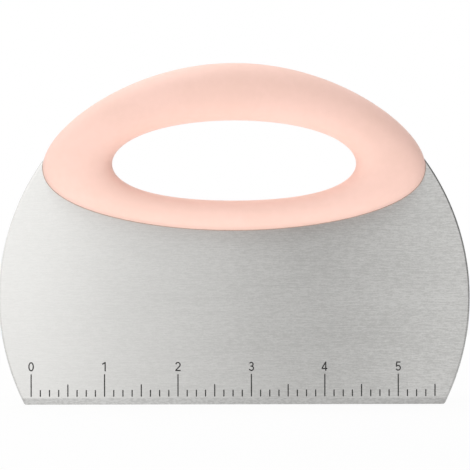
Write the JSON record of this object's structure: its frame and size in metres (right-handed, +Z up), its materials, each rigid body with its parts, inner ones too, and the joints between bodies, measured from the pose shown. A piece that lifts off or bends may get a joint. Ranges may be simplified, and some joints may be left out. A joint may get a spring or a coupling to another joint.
{
  "type": "dough scraper",
  "caption": "Half-round dough scraper: a stainless plate with a straight bevelled edge, locked in a soft loop handle round a finger opening.",
  "frame": {"origin": "middle of the cutting edge, on the middle plane of the blade", "axes": "+X along the cutting edge, to the right seen from the front; +Y from the front to the back, through the blade; +Z up, from the cutting edge to the top of the grip"},
  "size_m": [0.163, 0.02, 0.1181],
  "materials": {
    "blade_steel": "satin",
    "core_plastic": "matte",
    "grip_soft": "matte"
  },
  "bodies": {
    "root": {"blade": "blade_steel", "handle_core": "core_plastic", "grip": "grip_soft"}
  },
  "joints": []
}
